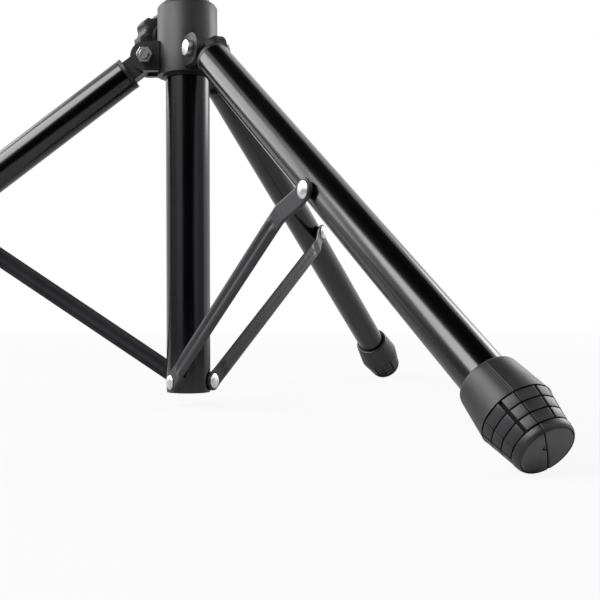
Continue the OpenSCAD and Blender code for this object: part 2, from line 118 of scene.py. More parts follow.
def coat_grain():
    """Group: the fine orange peel of a sprayed or moulded skin, as a bump height, and broad faint
    patches from handling, as a mask."""
    group = bpy.data.node_groups.new("skin_grain", "ShaderNodeTree")
    for label, value in (("Cells per metre", 900.0), ("Detail", 2.0), ("Patches per metre", 22.0)):
        socket = group.interface.new_socket(label, in_out="INPUT", socket_type="NodeSocketFloat")
        socket.default_value = value
    group.interface.new_socket("Height", in_out="OUTPUT", socket_type="NodeSocketFloat")
    group.interface.new_socket("Patches", in_out="OUTPUT", socket_type="NodeSocketFloat")
    nodes, links = group.nodes, group.links
    taken = nodes.new("NodeGroupInput")
    given = nodes.new("NodeGroupOutput")
    place = nodes.new("ShaderNodeTexCoord")
    fine = nodes.new("ShaderNodeTexNoise")
    broad = nodes.new("ShaderNodeTexNoise")
    links.new(place.outputs["Object"], fine.inputs["Vector"])
    links.new(place.outputs["Object"], broad.inputs["Vector"])
    links.new(taken.outputs["Cells per metre"], fine.inputs["Scale"])
    links.new(taken.outputs["Detail"], fine.inputs["Detail"])
    links.new(taken.outputs["Patches per metre"], broad.inputs["Scale"])
    broad.inputs["Detail"].default_value = 3.0
    stretch = nodes.new("ShaderNodeMapRange")
    stretch.inputs["From Min"].default_value = 0.35
    stretch.inputs["From Max"].default_value = 0.65
    links.new(broad.outputs["Fac"], stretch.inputs["Value"])
    links.new(fine.outputs["Fac"], given.inputs["Height"])
    links.new(stretch.outputs["Result"], given.inputs["Patches"])
    return group


skin_grain = coat_grain()


def finish_of(name, dark, light, rough, grain, depth, metal=0.0, **fixed):
    """A finish: its colour runs between two near tones and its roughness between two values over the
    broad patches, and the fine grain stands out as a bump of the given depth in metres."""
    material = bpy.data.materials.new(name)
    material.use_nodes = True
    nodes, links = material.node_tree.nodes, material.node_tree.links
    shader = nodes["Principled BSDF"]
    shader.inputs["Metallic"].default_value = metal
    for label, value in fixed.items():
        shader.inputs[label.replace("_", " ")].default_value = value
    skin = nodes.new("ShaderNodeGroup")
    skin.node_tree = skin_grain
    skin.inputs["Cells per metre"].default_value = grain[0]
    skin.inputs["Detail"].default_value = grain[1]
    skin.inputs["Patches per metre"].default_value = grain[2]
    tone = nodes.new("ShaderNodeMix")
    tone.data_type = "RGBA"
    tone.inputs["A"].default_value = (*dark, 1)
    tone.inputs["B"].default_value = (*light, 1)
    gloss = nodes.new("ShaderNodeMapRange")
    gloss.inputs["To Min"].default_value = rough[0]
    gloss.inputs["To Max"].default_value = rough[1]
    bump = nodes.new("ShaderNodeBump")
    bump.inputs["Distance"].default_value = depth
    bump.inputs["Strength"].default_value = 1.0
    links.new(skin.outputs["Patches"], tone.inputs["Factor"])
    links.new(tone.outputs["Result"], shader.inputs["Base Color"])
    links.new(skin.outputs["Patches"], gloss.inputs["Value"])
    links.new(gloss.outputs["Result"], shader.inputs["Roughness"])
    links.new(skin.outputs["Height"], bump.inputs["Height"])
    links.new(bump.outputs["Normal"], shader.inputs["Normal"])
    return material


powder_coat = finish_of("powder_coat", (0.0007, 0.0007, 0.0009), (0.0012, 0.0012, 0.0015), (0.17, 0.21),
                        (700.0, 2.0, 18.0), 0.000012, Specular_IOR_Level=0.62)

column_tube = turned([
    (column_bore, column_foot), (column_radius - 0.3, column_foot), (column_radius, column_foot + 0.3),
    (column_radius, column_top - 0.3), (column_radius - 0.3, column_top), (column_bore, column_top)])
piece("column", [column_tube], powder_coat, "column", ["column_tube"])


# Column plug and brace seats.
# A moulded plug closes the foot of the column and takes the ends of the brace rivets. Under each brace
# a small moulded seat makes a flat bearing on the round tube.

moulded = finish_of("moulded_plastic", (0.010, 0.010, 0.011), (0.014, 0.014, 0.015), (0.42, 0.5),
                    (2600.0, 3.0, 30.0), 0.00004)
legs = ("front", "right", "left")
rivet_out, rivet_low = 6.5, 17.1
brace_face = 15.3


def leg_plane(number):
    """The upright plane of one leg: X runs outwards, and its brace lies on the -Y side."""
    return Matrix.Rotation(math.radians(120 * number - 90), 4, "Z")


def brace_foot(number):
    """Axis of a rivet at the foot of the column: Z stands out of the tube towards the brace."""
    return (leg_plane(number) @ Matrix.Translation((rivet_out, 0, rivet_low))
            @ Matrix.Rotation(math.pi / 2, 4, "X"))


plug = turned([(0, 10.7), (3.0, 10.7), (3.5, 10.1), (4.0, 9.75), (12.6, 9.75), (13.4, 10.4), (13.4, 28),
               (0, 28)])
piece("column_plug", [plug], moulded, "column", ["column_plug"])

seat_bore, seat_radius, seat_steps = 2.6, 6.3, 72
seat_top = brace_face - 0.05
seat_parts = []
for number in range(3):
    corners = []
    for radius, on_tube in ((seat_bore, True), (seat_radius, True), (seat_radius, False), (seat_bore, False)):
        for k in range(seat_steps):
            a = 2 * math.pi * k / seat_steps
            x, y = radius * math.cos(a), radius * math.sin(a)
            z = seat_top
            if on_tube:
                tube_face = math.sqrt(max(column_radius ** 2 - (x + rivet_out) ** 2, 0)) + 0.02
                z = min(tube_face, brace_face - 0.1)
            corners.append(brace_foot(number) @ Vector((x, y, z)))
    rings = [list(range(ring * seat_steps, (ring + 1) * seat_steps)) for ring in range(4)]
    seat_parts.append((corners, ring_faces(rings)))
piece("brace_seats", seat_parts, moulded, "column", ["column_saddles"])


# Rivets.
# Bright nickel plated steel rivets with low domed heads, 10 mm across. Three hold the braces to the
# foot of the column, and one holds each brace to its leg.

nickel = finish_of("nickel_plate", (0.80, 0.80, 0.82), (0.88, 0.88, 0.90), (0.26, 0.34),
                   (1500.0, 2.0, 90.0), 0.000004, metal=1.0)


def rivet_tree():
    """Geometry Nodes: a low domed head on a narrow upright rim, at every point of the given mesh. A
    point's tilt attribute turns the rivet's axis."""
    tree = bpy.data.node_groups.new("rivet_heads", "GeometryNodeTree")
    tree.interface.new_socket("Geometry", in_out="INPUT", socket_type="NodeSocketGeometry")
    for label, value in (("Head radius", 0.005), ("Head height", 0.0019), ("Edge", 0.0004),
                         ("Dome power", 2.7)):
        socket = tree.interface.new_socket(label, in_out="INPUT", socket_type="NodeSocketFloat")
        socket.default_value = value
    tree.interface.new_socket("Finish", in_out="INPUT", socket_type="NodeSocketMaterial")
    tree.interface.new_socket("Geometry", in_out="OUTPUT", socket_type="NodeSocketGeometry")
    nodes, links = tree.nodes, tree.links
    taken = nodes.new("NodeGroupInput")
    given = nodes.new("NodeGroupOutput")

    def maths(operation, a, b=None):
        node = nodes.new("ShaderNodeMath")
        node.operation = operation
        for k, value in enumerate((a, b)):
            if value is None:
                continue
            if isinstance(value, (int, float)):
                node.inputs[k].default_value = value
            else:
                links.new(value, node.inputs[k])
        return node.outputs[0]

    # a thin disc, whose upper face is raised most on the axis and not at all at its edge
    disc = nodes.new("GeometryNodeMeshCylinder")
    disc.fill_type = "TRIANGLE_FAN"
    disc.inputs["Vertices"].default_value = 72
    disc.inputs["Side Segments"].default_value = 1
    disc.inputs["Fill Segments"].default_value = 26
    links.new(taken.outputs["Head radius"], disc.inputs["Radius"])
    links.new(taken.outputs["Edge"], disc.inputs["Depth"])
    where = nodes.new("GeometryNodeInputPosition")
    split = nodes.new("ShaderNodeSeparateXYZ")
    links.new(where.outputs[0], split.inputs[0])
    squares = [maths("POWER", split.outputs[axis], 2.0) for axis in ("X", "Y")]
    from_axis = maths("SQRT", maths("ADD", *squares))
    share = maths("DIVIDE", from_axis, taken.outputs["Head radius"])
    rise = maths("SUBTRACT", 1.0, maths("POWER", share, taken.outputs["Dome power"]))
    upper = maths("GREATER_THAN", split.outputs["Z"], 0.0)
    dome = maths("SUBTRACT", taken.outputs["Head height"], taken.outputs["Edge"])
    lift = maths("MULTIPLY", maths("MULTIPLY", rise, upper), dome)
    seat = maths("ADD", lift, maths("MULTIPLY", taken.outputs["Edge"], 0.5))
    raised = nodes.new("ShaderNodeCombineXYZ")
    links.new(seat, raised.inputs["Z"])
    move = nodes.new("GeometryNodeSetPosition")
    links.new(disc.outputs["Mesh"], move.inputs["Geometry"])
    links.new(raised.outputs[0], move.inputs["Offset"])
    # one head at each point, turned the way its tilt says
    points = nodes.new("GeometryNodeMeshToPoints")
    links.new(taken.outputs["Geometry"], points.inputs["Mesh"])
    along = nodes.new("GeometryNodeInputNamedAttribute")
    along.data_type = "FLOAT_VECTOR"
    along.inputs["Name"].default_value = "tilt"
    turn = nodes.new("FunctionNodeAlignRotationToVector")
    turn.axis = "Z"
    links.new(along.outputs["Attribute"], turn.inputs["Vector"])
    copies = nodes.new("GeometryNodeInstanceOnPoints")
    links.new(points.outputs["Points"], copies.inputs["Points"])
    links.new(move.outputs["Geometry"], copies.inputs["Instance"])
    links.new(turn.outputs["Rotation"], copies.inputs["Rotation"])
    real = nodes.new("GeometryNodeRealizeInstances")
    links.new(copies.outputs["Instances"], real.inputs["Geometry"])
    coat = nodes.new("GeometryNodeSetMaterial")
    links.new(real.outputs["Geometry"], coat.inputs["Geometry"])
    links.new(taken.outputs["Finish"], coat.inputs["Material"])
    links.new(coat.outputs["Geometry"], given.inputs["Geometry"])
    return tree


rivet_heads = rivet_tree()


def grown(name, base, tree, values, body, nodes, crease=35.0):
    """A dressed piece that a Geometry Nodes tree makes from a base mesh, kept as a plain mesh."""
    seed = bpy.data.objects.new(name + "_seed", base)
    bpy.context.scene.collection.objects.link(seed)
    live = seed.modifiers.new("grow", "NODES")
    live.node_group = tree
    for item in tree.interface.items_tree:
        if item.item_type == "SOCKET" and item.in_out == "INPUT" and item.name in values:
            live[item.identifier] = values[item.name]
    bpy.context.view_layer.update()
    settled = seed.evaluated_get(bpy.context.evaluated_depsgraph_get())
    solid = bpy.data.meshes.new_from_object(settled)
    seed.modifiers.clear()
    bpy.data.objects.remove(seed)
    solid.name = name
    return dressed(name, solid, body, nodes, crease)


def rivet_points(name, places):
    """Points in metres for rivet heads, each with the direction that its head faces."""
    mesh = bpy.data.meshes.new(name)
    mesh.from_pydata([p * 0.001 for p, _ in places], [], [])
    tilt = mesh.attributes.new("tilt", "FLOAT_VECTOR", "POINT")
    for k, (_, direction) in enumerate(places):
        tilt.data[k].vector = direction
    return mesh


brace_sheet, head_gap = 1.5, 0.05
foot_places = []
for number in range(3):
    axis = brace_foot(number)
    under_head = axis @ Vector((0, 0, brace_face + brace_sheet + head_gap))
    foot_places.append((under_head, axis.to_3x3() @ Vector((0, 0, 1))))
grown("foot_rivets", rivet_points("foot_rivet_points", foot_places), rivet_heads, {"Finish": nickel},
      "column", ["column_rivets"])


# Legs.
# Three round steel tubes, 22.6 mm across, powder coated like the column. Each swings on a bolt in the
# collar through a moulded tongue in its upper end.

hinge_out, hinge_height, leg_slope = 28.0, 237.590, 36.8
leg_radius, leg_wall, leg_reach, tube_start, foot_floor = 11.3, 1.4, 381.0, 18.02, 4.0


def along_leg(number):
    """Along one leg: Z runs from its hinge to its foot."""
    return (leg_plane(number) @ Matrix.Translation((hinge_out, 0, hinge_height))
            @ Matrix.Rotation(math.radians(90 + leg_slope), 4, "Y"))


for number, side in enumerate(legs):
    place = along_leg(number)
    tube_end = leg_reach - foot_floor - 0.1
    tube = turned([(leg_radius - leg_wall, tube_start), (leg_radius - 0.4, tube_start),
                   (leg_radius, tube_start + 0.4), (leg_radius, tube_end), (leg_radius - leg_wall, tube_end)],
                  place=place)
    piece("leg_" + side, [tube], powder_coat, "leg_" + side, [f"leg_{side}_tube"])


# Rubber feet.
# Black rubber shoes pushed on the tube ends: a conical shoulder, three rows of twelve low blocks with
# grooves between, a plain rim, and a domed end disc with the mould's parting groove and gate mark.

foot_rubber = finish_of("foot_rubber", (0.010, 0.010, 0.011), (0.016, 0.016, 0.018), (0.38, 0.47),
                        (2200.0, 4.0, 45.0), 0.00005, Specular_IOR_Level=0.56)
# painted reflection: the end disc's rubber is much lighter than the shoe's, standing in for the white floor
# mirrored in it
disc_painted_reflection = finish_of("disc_painted_reflection", (0.062, 0.062, 0.063), (0.080, 0.080, 0.082), (0.40, 0.5),
                        (2200.0, 4.0, 45.0), 0.00005, Specular_IOR_Level=0.6)
# painted shade: a near-black, dull rubber for the groove floors and the blocks' sides, standing in for the
# shade inside the grooves
groove_painted_shade = finish_of("groove_painted_shade", (0.007, 0.007, 0.007), (0.011, 0.011, 0.011), (0.7, 0.8),
                          (2200.0, 4.0, 45.0), 0.00005, Specular_IOR_Level=0.15)
foot_length, foot_girth = 45.0, 16.9
foot_start = leg_reach - foot_length
block_from, block_to = 0.52, 0.88
block_rows, block_edge, block_flat = 3, 0.22, 0.5
ring_half, groove_depth = 0.27, 2.0
ring_low = foot_start + foot_length * block_from - ring_half
ring_high = foot_start + foot_length * block_to + ring_half
thin_half, left_half, right_half = 0.17, 0.82, 0.62
left_groove, right_groove = math.radians(-120.4), math.radians(-58.5)
rim_round = 4.0
rim_middle = (hinge_height - rim_round - (leg_reach - rim_round) * math.sin(math.radians(leg_slope))) \
    / math.cos(math.radians(leg_slope))
face_start = math.radians(46)
face_reach = rim_middle + rim_round * math.cos(face_start)
face_low = leg_reach - rim_round + rim_round * math.sin(face_start)
face_dome = 0.9
parting, parting_off = math.radians(-146), 0.5
parting_deep, parting_wide, parting_floor = 0.9, 0.3, 0.24
rim_cut_deep, rim_cut_wide = 0.6, 0.28
seam_rise, seam_out, seam_dip, seam_wide = 0.07, 0.42, 0.05, 0.14
gate_x, gate_y, gate_round, gate_deep, gate_wide, gate_floor = 3.5, 1.0, 1.1, 1.1, 0.36, 0.32
line_girth, line_reach, line_steps = 15.0, 1.4, 84
lip_inset, lip_radius, lip_width, lip_rise, lip_turn = 1.3, 12.3, 1.9, 1.3, 1.4
lip_start = foot_start + lip_inset


def foot_side(u):
    """Radius of the shoe's side at a share of its length: a cone up to the blocks, then a taper."""
    if u < block_from:
        return foot_girth * (0.827 + 0.173 * u / block_from)
    return foot_girth * (1 - 0.48 * (u - block_from))


def edge_of(rows, across):
    """The corners around a grid, in order."""
    return (list(range(across)) + [i * across + across - 1 for i in range(1, rows)]
            + [(rows - 1) * across + j for j in range(across - 2, -1, -1)]
            + [i * across for i in range(rows - 2, 0, -1)])


def block(row, low, high):
    """One low block of the shoe's side between two angles, with upright walls and a narrow round edge."""
    setbacks = [0, 0.02, 0.07, 0.13, block_edge]
    step = (block_to - block_from) / block_rows
    near = foot_start + foot_length * (block_from + row * step) + ring_half
    far = foot_start + foot_length * (block_from + (row + 1) * step) - ring_half
    span = (high - low) * foot_girth
    downs = [near + s for s in setbacks] + [(near + far) / 2] + [far - s for s in reversed(setbacks)]
    middles = list(np.linspace(block_edge, span - block_edge, 10)[1:-1])
    arcs = setbacks + middles + [span - s for s in reversed(setbacks)]
    corners, faces = [], []
    for level in (0, 1):
        for z in downs:
            for s in arcs:
                a = low + s / foot_girth
                r = foot_side((z - foot_start) / foot_length)
                flat = math.cos((high - low) / 2) / math.cos(a - (low + high) / 2)
                r *= 1 - block_flat * (1 - flat)
                out_z = max(block_edge - min(z - near, far - z), 0)
                out_s = max(block_edge - min(s, span - s), 0)
                drop = block_edge - math.sqrt(max(block_edge ** 2 - out_z ** 2 - out_s ** 2, 0))
                r -= drop if level else groove_depth + 0.2
                corners.append(Vector((r * math.cos(a), r * math.sin(a), z)))
    rows, across = len(downs), len(arcs)
    n = rows * across
    for i in range(rows - 1):
        for j in range(across - 1):
            k = i * across + j
            faces.append([k, k + 1, k + across + 1, k + across])
            faces.append([n + k, n + k + across, n + k + across + 1, n + k + 1])
    border = edge_of(rows, across)
    for a, b in zip(border, border[1:] + border[:1]):
        faces.append([a, b, n + b, n + a])
    return corners, faces


def fan_tree():
    """Geometry Nodes: copies of the given sector, turned about the Z axis by equal steps. Faces that
    have the wall attribute, the blocks' sides, get the painted shade of the grooves."""
    tree = bpy.data.node_groups.new("sectors_around", "GeometryNodeTree")
    tree.interface.new_socket("Geometry", in_out="INPUT", socket_type="NodeSocketGeometry")
    sectors = tree.interface.new_socket("Sectors", in_out="INPUT", socket_type="NodeSocketInt")
    sectors.default_value = 3
    tree.interface.new_socket("Finish", in_out="INPUT", socket_type="NodeSocketMaterial")
    tree.interface.new_socket("Painted groove shade", in_out="INPUT", socket_type="NodeSocketMaterial")
    tree.interface.new_socket("Geometry", in_out="OUTPUT", socket_type="NodeSocketGeometry")
    nodes, links = tree.nodes, tree.links
    taken = nodes.new("NodeGroupInput")
    given = nodes.new("NodeGroupOutput")
    # as many points on the axis as sectors, each with the next step of the turn
    spots = nodes.new("GeometryNodeMeshLine")
    spots.inputs["Offset"].default_value = (0, 0, 0)
    links.new(taken.outputs["Sectors"], spots.inputs["Count"])
    points = nodes.new("GeometryNodeMeshToPoints")
    links.new(spots.outputs["Mesh"], points.inputs["Mesh"])
    index = nodes.new("GeometryNodeInputIndex")
    step = nodes.new("ShaderNodeMath")
    step.operation = "DIVIDE"
    step.inputs[0].default_value = 2 * math.pi
    links.new(taken.outputs["Sectors"], step.inputs[1])
    angle = nodes.new("ShaderNodeMath")
    angle.operation = "MULTIPLY"
    links.new(index.outputs[0], angle.inputs[0])
    links.new(step.outputs[0], angle.inputs[1])
    turn = nodes.new("FunctionNodeAxisAngleToRotation")
    turn.inputs["Axis"].default_value = (0, 0, 1)
    links.new(angle.outputs[0], turn.inputs["Angle"])
    copies = nodes.new("GeometryNodeInstanceOnPoints")
    links.new(points.outputs["Points"], copies.inputs["Points"])
    links.new(taken.outputs["Geometry"], copies.inputs["Instance"])
    links.new(turn.outputs["Rotation"], copies.inputs["Rotation"])
    real = nodes.new("GeometryNodeRealizeInstances")
    links.new(copies.outputs["Instances"], real.inputs["Geometry"])
    coat = nodes.new("GeometryNodeSetMaterial")
    links.new(real.outputs["Geometry"], coat.inputs["Geometry"])
    links.new(taken.outputs["Finish"], coat.inputs["Material"])
    # the blocks' upright walls take the painted groove shade
    walls = nodes.new("GeometryNodeInputNamedAttribute")
    walls.data_type = "BOOLEAN"
    walls.inputs["Name"].default_value = "wall"
    inside = nodes.new("GeometryNodeSetMaterial")
    links.new(coat.outputs["Geometry"], inside.inputs["Geometry"])
    links.new(walls.outputs["Attribute"], inside.inputs["Selection"])
    links.new(taken.outputs["Painted groove shade"], inside.inputs["Material"])
    links.new(inside.outputs["Geometry"], given.inputs["Geometry"])
    return tree


sectors_around = fan_tree()


def sector_mesh(name, parts):
    """The joined blocks with their faces turned outwards. The upright walls are marked by an attribute."""
    mesh = joined(name, parts)
    shape = bmesh.new()
    shape.from_mesh(mesh)
    bmesh.ops.recalc_face_normals(shape, faces=shape.faces)
    shape.to_mesh(mesh)
    shape.free()
    wall = mesh.attributes.new("wall", "BOOLEAN", "FACE")
    for face in mesh.polygons:
        middle = face.center.copy()
        middle.z = 0.0
        wall.data[face.index].value = abs(face.normal.dot(middle.normalized())) < 0.5
    return mesh


def shoe_shell():
    """The shoe without its blocks and end face: shoulder with the parting lines, ring floor, and rim."""
    side = [(lip_radius + lip_width * math.sin(t), lip_start + lip_rise * (1 - math.cos(t)))
            for t in np.linspace(0, lip_turn, 9)]
    side += [(foot_side((z - foot_start) / foot_length), z)
             for z in np.linspace(lip_start + 1.8, ring_low - 0.2, 24)]
    crest = foot_side(block_from - 0.001)
    side += [(crest - 0.02, ring_low - 0.09), (crest - 0.10, ring_low - 0.02), (crest - 0.2, ring_low)]
    side += [(foot_side((z - foot_start) / foot_length) - groove_depth, z)
             for z in np.linspace(ring_low + 0.02, ring_high - 0.02, 8)]
    crest = foot_side(block_to + ring_half / foot_length)
    side += [(crest - 0.34, ring_high), (crest - 0.20, ring_high + 0.05), (crest - 0.06, ring_high + 0.17),
             (crest - 0.01, ring_high + 0.34)]
    side += [(rim_middle + rim_round * math.cos(a), leg_reach - rim_round + rim_round * math.sin(a))
             for a in np.linspace(0.05, face_start, 9)]
    loop = side + [(face_reach - 0.12, face_low - 0.1), (face_reach - 0.3, face_low - 1.2),
                   (0, face_low - 1.2), (0, leg_reach - foot_floor),
                   (leg_radius + 0.02, leg_reach - foot_floor), (leg_radius + 0.02, lip_start + 0.3)]
    # the rings have more corners beside the two parting lines
    near = [0.0, 0.1, 0.2, 0.3, 0.42, 0.56, 0.75, 1.0, line_reach]
    beside = sorted({-w for w in near} | set(near))
    rest = math.pi - 2 * line_reach / line_girth
    angles = []
    for half_turn in (0, 1):
        line = parting + half_turn * math.pi
        off = (1 - 2 * half_turn) * parting_off
        angles += [line + (off + w) / line_girth for w in beside]
        angles += [line + (off + line_reach) / line_girth + k / line_steps * rest
                   for k in range(1, line_steps)]
    corners, rows = [], []
    for radius, height in loop:
        if radius < 1e-6:
            rows.append([len(corners)] * len(angles))
            corners.append(Vector((0, 0, height)))
            continue
        rows.append(list(range(len(corners), len(corners) + len(angles))))
        for a in angles:
            across = radius * math.sin(a - parting)
            w = abs(across - parting_off)
            r = radius
            if height > ring_high and radius > face_reach - 0.3:
                # the parting groove runs over the rim
                r -= rim_cut_deep * math.exp(-(w / rim_cut_wide) ** 2)
            elif radius > 13.0 and lip_start + lip_rise < height < ring_low - 0.1:
                # on the shoulder it is a faint line with a raised lip on each side
                r += (seam_rise * math.exp(-((w - seam_out) / seam_wide) ** 2)
                      - seam_dip * math.exp(-(w / seam_wide) ** 2))
            corners.append(Vector((r * math.cos(a), r * math.sin(a), height)))
    return corners, ring_faces(rows)


def shoe_face():
    """The domed end disc, in strips along its parting groove, with the mark of the mould's gate."""
    reach = face_reach - 0.38
    # strips lie close together across the parting groove and the gate mark
    strips = [parting_off + w for w in (-0.9, -0.6, -0.42, -0.3, -0.2, -0.1, 0, 0.1, 0.2, 0.3, 0.42)]
    strips += [1.15, 1.4, 1.65, 1.9, 2.15, 2.4, 2.7]
    strips += [reach * c for c in (-1, -0.985, -0.94, -0.87, -0.77, -0.65, -0.5, -0.35, -0.2, -0.12)]
    strips += [reach * c for c in (0.3, 0.42, 0.55, 0.67, 0.78, 0.87, 0.94, 0.985, 1)]
    strips.sort()
    along = set(np.linspace(-1, 1, 31)) | set(np.linspace(0.13, 0.43, 17)) | {-0.99, -0.97, 0.97, 0.99}
    along = sorted(along)
    corners, faces = [], []
    for y in strips:
        half = math.sqrt(max(reach ** 2 - y * y, 0.0)) + 0.01
        for share in along:
            x = half * share
            far = math.hypot(x, y) / reach
            z = face_low + face_dome * (1 - far * far) - 0.25 * max(far - 0.96, 0) / 0.04
            z -= parting_deep * math.exp(-((y - parting_off) / parting_wide) ** 2)
            if y > parting_off:
                from_ring = math.hypot(x - gate_x, y - gate_y) - gate_round
                z -= gate_deep * math.exp(-(from_ring / gate_wide) ** 2)
            corners.append(Vector((x, y, z)))
    row = len(along)
    for i in range(len(strips) - 1):
        for k in range(row - 1):
            a = i * row + k
            faces.append([a, a + row, a + row + 1, a + 1])
    top = len(corners)
    under = [Vector((v.x, v.y, face_low - 1.5)) for v in corners]
    back = [[top + c for c in reversed(f)] for f in faces]
    border = edge_of(len(strips), row)
    walls = [[a, b, top + b, top + a] for a, b in zip(border, border[1:] + border[:1])]
    turn = Matrix.Rotation(parting, 4, "Z")
    return [turn @ v for v in corners + under], faces + back + walls


for number, side in enumerate(legs):
    place = along_leg(number)
    shell, face = [([place @ v for v in c], f) for c, f in (shoe_shell(), shoe_face())]
    shoe = piece("shoe_" + side, [shell], foot_rubber, "leg_" + side, [f"leg_{side}_foot"],
                 crease=42)
    # the floors of the grooves between the blocks take painted shade: the near-black, dull groove rubber
    shoe.data.materials.append(groove_painted_shade)
    upright = place.inverted()
    for part in shoe.data.polygons:
        spot = upright @ (part.center * 1000)
        if ring_low < spot.z < ring_high and math.hypot(spot.x, spot.y) > leg_radius + 0.5:
            part.material_index = 1
    # the end disc takes the lighter rubber, a painted reflection of the floor
    disc = piece("shoe_disc_" + side, [face], disc_painted_reflection, "leg_" + side, [], crease=42)
    # so do those of the parting groove and of the gate's ring, as painted shade
    disc.data.materials.append(groove_painted_shade)
    flat = (place @ Matrix.Rotation(parting, 4, "Z")).inverted()
    for part in disc.data.polygons:
        spot = flat @ (part.center * 1000)
        from_ring = abs(math.hypot(spot.x - gate_x, spot.y - gate_y) - gate_round)
        if abs(spot.y - parting_off) < parting_floor or (spot.y > parting_off and from_ring < gate_floor):
            part.material_index = 1
    # four blocks in a third of a turn, from one thin groove to another, with wide grooves between
    first = parting + parting_off / 16
    grooves = [(first, thin_half), (left_groove, left_half), (first + math.pi / 3, thin_half),
               (right_groove, right_half), (first + math.pi * 2 / 3, thin_half)]
    sector = []
    for row in range(block_rows):
        for (low, low_half), (high, high_half) in zip(grooves, grooves[1:]):
            sector.append(block(row, low + low_half / foot_girth, high - high_half / foot_girth))
    # the blocks' sides take the painted groove shade
    values = {"Sectors": 3, "Finish": foot_rubber, "Painted groove shade": groove_painted_shade}
    blocks = grown("shoe_blocks_" + side, sector_mesh("shoe_sector", sector), sectors_around, values,
                   "leg_" + side, [], crease=60)
    blocks.data.transform(Matrix.Scale(0.001, 4) @ place @ Matrix.Scale(1000, 4))


# Braces.
# Strips of 1.5 mm steel, 12.4 mm wide, with two round ribs pressed along most of their length and the
# upper end bent back to the leg. They carry a dark satin coat and are riveted at both ends.

brace_coat = finish_of("brace_coat", (0.018, 0.018, 0.020), (0.025, 0.025, 0.028), (0.27, 0.33),
                       (1600.0, 3.0, 40.0), 0.000007, Specular_IOR_Level=0.30)
brace_length, brace_slope = 200.811, 33.820
brace_width, eye_radius = 12.4, 6.5
rib_middle, rib_width, rib_rise, crown = 3.05, 2.75, 0.85, 0.4
rib_start, rib_lead_in, rib_stop, rib_lead_out, eye_run = 10.5, 8, 27, 6, 9
leg_face, edge_round = 13.07, 0.35
edge_roll, roll_on_ribs, roll_reach, roll_run = 0.2, 0.7, 1.15, 0.85
bends = [(-20, brace_face), (7.1, brace_face), (brace_length - 20.5, brace_face + 2.6),
         (brace_length - 6, leg_face), (230, leg_face)]


def along_brace(number):
    """Along one brace: X runs from its lower rivet to its upper one, and -Y faces outwards."""
    return (leg_plane(number) @ Matrix.Translation((rivet_out, 0, rivet_low))
            @ Matrix.Rotation(math.radians(-brace_slope), 4, "Y"))


def brace_depth(x):
    """How far the sheet's inner face stands out, with its bends rounded."""
    spread = np.linspace(-2.2, 2.2, 15)
    weight = np.exp(-(spread / 1.3) ** 2)
    xs, ys = zip(*bends)
    return float(np.sum(np.interp(x + spread, xs, ys) * weight) / np.sum(weight))


def smooth(x):
    """0 below 0, 1 above 1, and an even S between."""
    x = min(max(x, 0.0), 1.0)
    return x * x * (3 - 2 * x)


def brace_parts(place):
    """The pressed strip as loops of points around its section, joined along its length."""
    ends = [-eye_radius * math.cos(a) for a in np.linspace(0.03, math.pi / 2, 16)]
    xs = ends + list(np.linspace(0.6, 26, 30)) + list(np.linspace(28, brace_length - 48, 40))
    xs += list(np.linspace(brace_length - 46.5, brace_length - 0.6, 46))
    xs += [brace_length - e for e in reversed(ends)]
    shares = [s / 22 for s in range(-22, 23)]
    shares = sorted(shares + [-0.985, -0.93, -0.885, -0.84, 0.84, 0.885, 0.93, 0.985])
    corners, loops = [], []
    for x in xs:
        if x < 0:
            half = math.sqrt(max(eye_radius ** 2 - x * x, 0.01))
        elif x > brace_length:
            half = math.sqrt(max(eye_radius ** 2 - (x - brace_length) ** 2, 0.01))
        else:
            end = min(x, brace_length - x)
            half = brace_width / 2 + (eye_radius - brace_width / 2) * (1 - smooth(end / eye_run))
        rib = smooth((x - rib_start) / rib_lead_in) * smooth((brace_length - rib_stop - x) / rib_lead_out)
        depth = brace_depth(x)
        outer, inner = [], []
        corner = min(edge_round, half * 0.4)
        for s in shares:
            z = s * half
            near = abs(abs(z) - rib_middle) / rib_width
            rise = rib_rise * rib * (1 - near * near) ** 1.15 if near < 1 else 0.0
            edge = max(abs(z) - (half - corner), 0) / corner
            drop = edge_round * (1 - math.sqrt(max(1 - edge * edge, 0)))
            roll = edge_roll * (1 - roll_on_ribs * rib) * smooth((abs(z) - (half - roll_reach)) / roll_run)
            rise += crown * rib * (1 - s * s)
            outer.append((z, depth + brace_sheet + rise - drop - roll))
            inner.append((z, depth + rise * 0.9 + drop))
        loop = outer + inner[::-1]
        loops.append(list(range(len(corners), len(corners) + len(loop))))
        corners += [place @ Vector((x, -y, z)) for z, y in loop]
    faces = []
    for low, high in zip(loops, loops[1:]):
        for k in range(len(low)):
            n = (k + 1) % len(low)
            faces.append([low[k], low[n], high[n], high[k]])
    faces += [loops[0][::-1], loops[-1]]
    return corners, faces


for number, side in enumerate(legs):
    place = along_brace(number)
    piece("brace_" + side, [brace_parts(place)], brace_coat, "brace_" + side, [f"brace_{side}_bar"],
          crease=40)
    head = place @ Matrix.Translation((brace_length, 0, 0)) @ Matrix.Rotation(math.pi / 2, 4, "X")
    spacer = turned([(2.6, 11.65), (5.1, 11.65), (5.4, 11.9), (5.4, 12.8), (5.1, 13.05), (2.6, 13.05)],
                    steps=72, place=head)
    piece("spacer_" + side, [spacer], moulded, "brace_" + side, [f"brace_{side}_spacer"])
    spot = (head @ Vector((0, 0, leg_face + brace_sheet + 0.02)), head.to_3x3() @ Vector((0, 0, 1)))
    points = rivet_points("leg_rivet_point_" + side, [spot])
    grown("leg_rivet_" + side, points, rivet_heads, {"Finish": nickel}, "brace_" + side,
          [f"brace_{side}_rivet"])


# Collar, clamps and grips.
# Moulded fittings with softly rounded edges: collar with its hinge ears, tongues in the legs, height
# clamp, liners, caps and star grips. Their bolts, nuts and screws are zinc plated steel.

